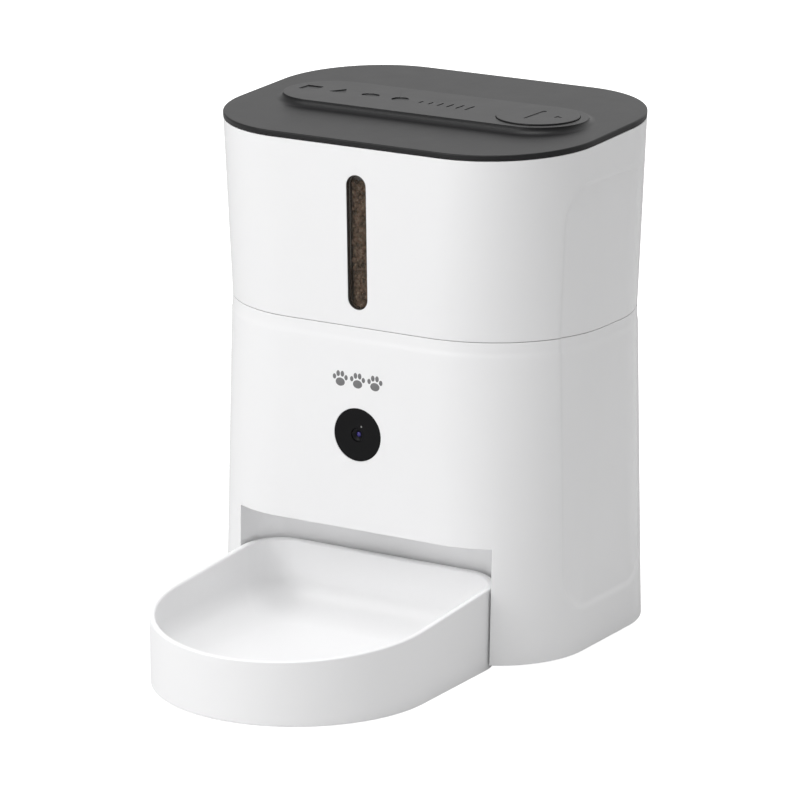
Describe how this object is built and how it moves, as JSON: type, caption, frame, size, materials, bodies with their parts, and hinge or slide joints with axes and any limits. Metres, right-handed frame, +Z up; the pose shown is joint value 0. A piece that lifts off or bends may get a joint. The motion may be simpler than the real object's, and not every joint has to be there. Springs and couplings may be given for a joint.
{
  "type": "automatic pet feeder",
  "caption": "Automatic dry-food feeder with lift-off hopper, push-button lid, paddle rotor, front camera and slide-out D-shaped bowl.",
  "frame": {"origin": "on the floor, under the middle of the whole footprint, bowl included", "axes": "+Z up; -Y towards the bowl and the front; +X to the feeder's left as it faces out, the push-button end of the lid"},
  "size_m": [0.242, 0.3214, 0.3122],
  "materials": {
    "white_gloss": "glossy white moulding",
    "bowl_white": "satin white moulding",
    "lid_charcoal": "fine-textured matte charcoal",
    "smoke_window": "clear smoked plastic",
    "tank_white": "milky food-safe plastic",
    "inner_grey": "plain moulded grey",
    "camera_black": "high-gloss black",
    "lens_black": "matt black",
    "lens_glass": "coated glass",
    "foot_rubber": "soft matt rubber",
    "seal_silicone": "soft grey silicone",
    "vane_silicone": "food-grade orange silicone",
    "screw_steel": "zinc-plated steel",
    "spring_steel": "drawn wire",
    "contact_nickel": "nickel plate",
    "bush_brass": "turned brass",
    "gear_acetal": "natural acetal",
    "pcb_green": "solder mask",
    "chip_black": "moulded components",
    "speaker_black": "black steel and paper",
    "bag_fabric": "non-woven bag"
  },
  "bodies": {
    "base": {"body_shell": "white_gloss", "base_plate": "inner_grey", "base_feet": "foot_rubber", "base_screws": "screw_steel", "camera_bezel": "camera_black", "lens_barrel": "lens_black", "lens_glass": "lens_glass", "light_sensor": "lens_glass", "camera_board": "pcb_green", "dispenser_housing": "tank_white", "flow_baffle": "inner_grey", "shaft_bush": "bush_brass", "portion_switch": "chip_black", "dispense_chute": "tank_white", "chute_sensors": "chip_black", "gearbox_case": "inner_grey", "gearbox_lid": "inner_grey", "idler_axle": "screw_steel", "drive_motor": "screw_steel", "battery_box": "inner_grey", "battery_contacts": "contact_nickel", "power_inlet": "chip_black", "rear_board": "pcb_green", "main_pcb": "pcb_green", "pcb_components": "chip_black", "pcb_screws": "screw_steel", "speaker": "speaker_black"},
    "hopper": {"hopper_shell": "white_gloss", "hopper_tank": "tank_white", "window_panel": "smoke_window"},
    "lid": {"lid_cover": "lid_charcoal", "lid_liner": "inner_grey", "lid_seal": "seal_silicone", "lid_screws": "screw_steel", "desiccant_box": "inner_grey", "desiccant_bag": "bag_fabric", "button_spring": "spring_steel", "bolt_spring": "spring_steel"},
    "desiccant_cap": {"desiccant_cover": "inner_grey"},
    "push_button": {"latch_button": "lid_charcoal"},
    "bolt": {"latch_bolt": "gear_acetal"},
    "rotor": {"rotor_shaft": "screw_steel", "rotor_hub": "inner_grey", "rotor_vanes": "vane_silicone", "agitator": "inner_grey", "portion_cam": "gear_acetal", "output_gear": "gear_acetal"},
    "idler": {"idler_gear": "gear_acetal"},
    "pinion": {"motor_pinion": "bush_brass"},
    "battery_cover": {"battery_door": "white_gloss"},
    "pairing": {"pair_button": "inner_grey"},
    "bowl": {"bowl": "bowl_white", "bowl_feet": "foot_rubber"}
  },
  "joints": [
    {"name": "hopper_lift", "type": "slide", "parent": "base", "child": "hopper", "axis": [0, 0, 1], "range_m": [0, 0.16]},
    {"name": "lid_lift", "type": "slide", "parent": "hopper", "child": "lid", "axis": [0, 0, 1], "range_m": [0, 0.09]},
    {"name": "desiccant_twist", "type": "hinge", "parent": "lid", "child": "desiccant_cap", "pos_m": [-0.045, 0.07515, 0.27553], "axis": [0, -0.0424, 0.9991], "range_deg": [0, 40]},
    {"name": "latch_press", "type": "slide", "parent": "lid", "child": "push_button", "axis": [0, 0.0424, -0.9991], "range_m": [0, 0.003], "stiffness_N_per_m": 700, "springref_m": -0.003, "deforming": ["button_spring"]},
    {"name": "bolt_slide", "type": "slide", "parent": "lid", "child": "bolt", "axis": [-1, 0, 0], "range_m": [0, 0.0036], "stiffness_N_per_m": 150, "springref_m": -0.004, "deforming": ["bolt_spring"]},
    {"name": "rotor_spin", "type": "hinge", "parent": "base", "child": "rotor", "pos_m": [0, 0.07975, 0.15], "axis": [0, 0, 1], "continuous": true},
    {"name": "idler_spin", "type": "hinge", "parent": "base", "child": "idler", "pos_m": [0, 0.10375, 0.105], "axis": [0, 0, 1], "continuous": true},
    {"name": "pinion_spin", "type": "hinge", "parent": "base", "child": "pinion", "pos_m": [0.02, 0.10375, 0.1], "axis": [0, 0, 1], "continuous": true},
    {"name": "battery_door_pull", "type": "slide", "parent": "base", "child": "battery_cover", "axis": [0, 1, 0], "range_m": [0, 0.06]},
    {"name": "pair_press", "type": "slide", "parent": "base", "child": "pairing", "axis": [0, -1, 0], "range_m": [0, 0.0012], "stiffness_N_per_m": 400, "springref_m": -0.0015},
    {"name": "bowl_slide", "type": "slide", "parent": "base", "child": "bowl", "axis": [0, -1, 0], "range_m": [0, 0.12]}
  ],
  "couplings": [
    {"joint": "bolt_slide", "follows": "latch_press", "ratio": 1.2},
    {"joint": "idler_spin", "follows": "rotor_spin", "ratio": -3},
    {"joint": "pinion_spin", "follows": "rotor_spin", "ratio": 9}
  ]
}
